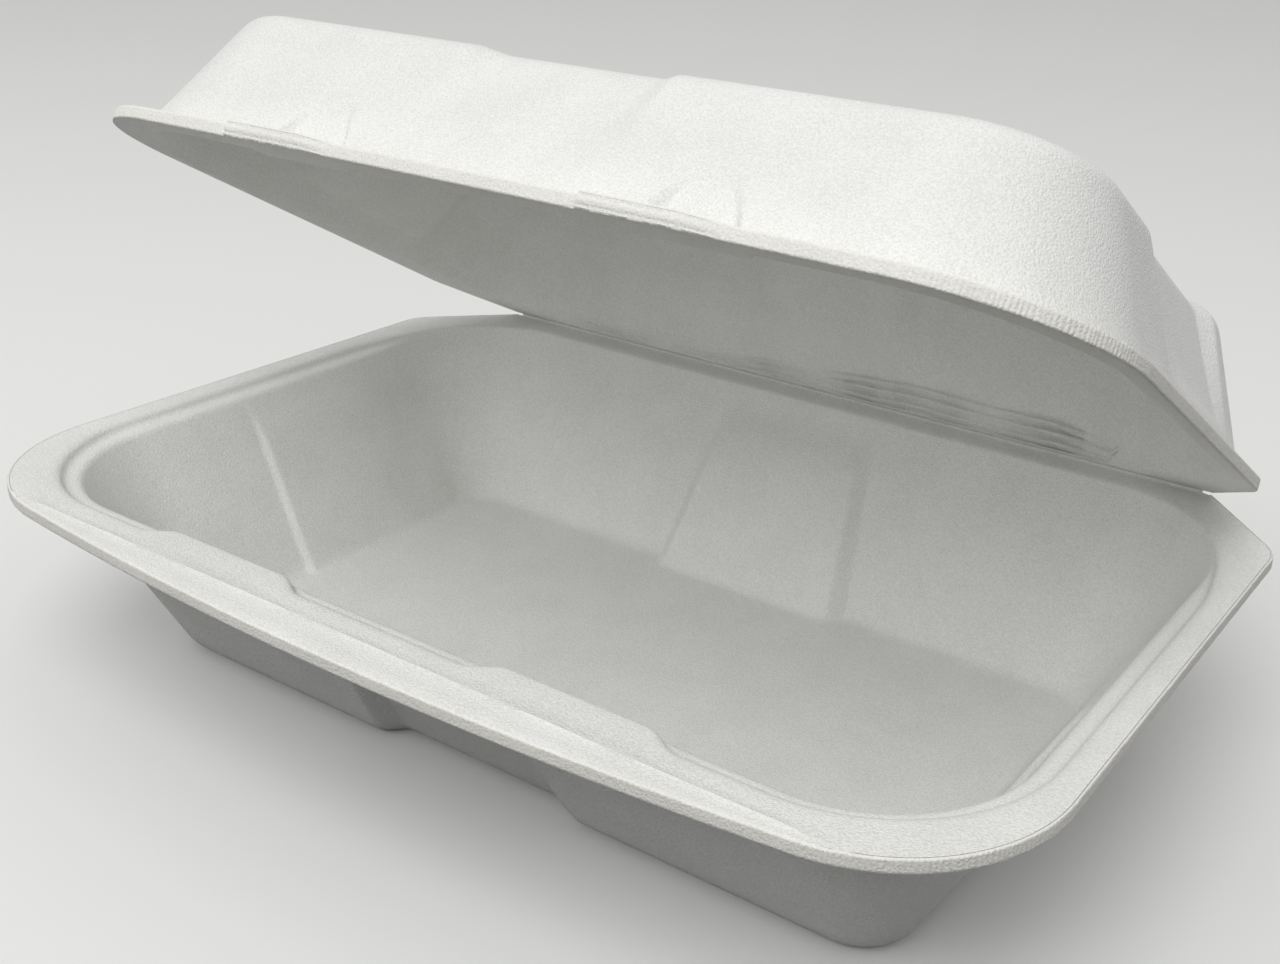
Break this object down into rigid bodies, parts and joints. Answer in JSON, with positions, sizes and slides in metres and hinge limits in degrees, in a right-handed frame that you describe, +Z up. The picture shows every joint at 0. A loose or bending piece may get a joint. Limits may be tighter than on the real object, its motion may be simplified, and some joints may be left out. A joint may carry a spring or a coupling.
{
  "type": "foam clamshell container",
  "caption": "White foam clamshell food container: a tray with inset wall panels and a hinged lid that folds on a crease along the rear rim.",
  "frame": {"origin": "centre of the underside of the base tray's floor", "axes": "+X along the crease of the lid, to the right seen from the front; -Y to the front, where the latch lips are; +Z up"},
  "size_m": [0.235, 0.165, 0.1344],
  "materials": {
    "white_foam": "matte white expanded foam with a fine pebbled skin"
  },
  "bodies": {
    "base": {"base_tray": "white_foam"},
    "lid": {"lid_tray": "white_foam"}
  },
  "joints": [
    {"name": "lid_hinge", "type": "hinge", "parent": "base", "child": "lid", "pos_m": [0, 0.0765, 0.04415], "axis": [-1, 0, 0], "range_deg": [-30, 150]}
  ]
}
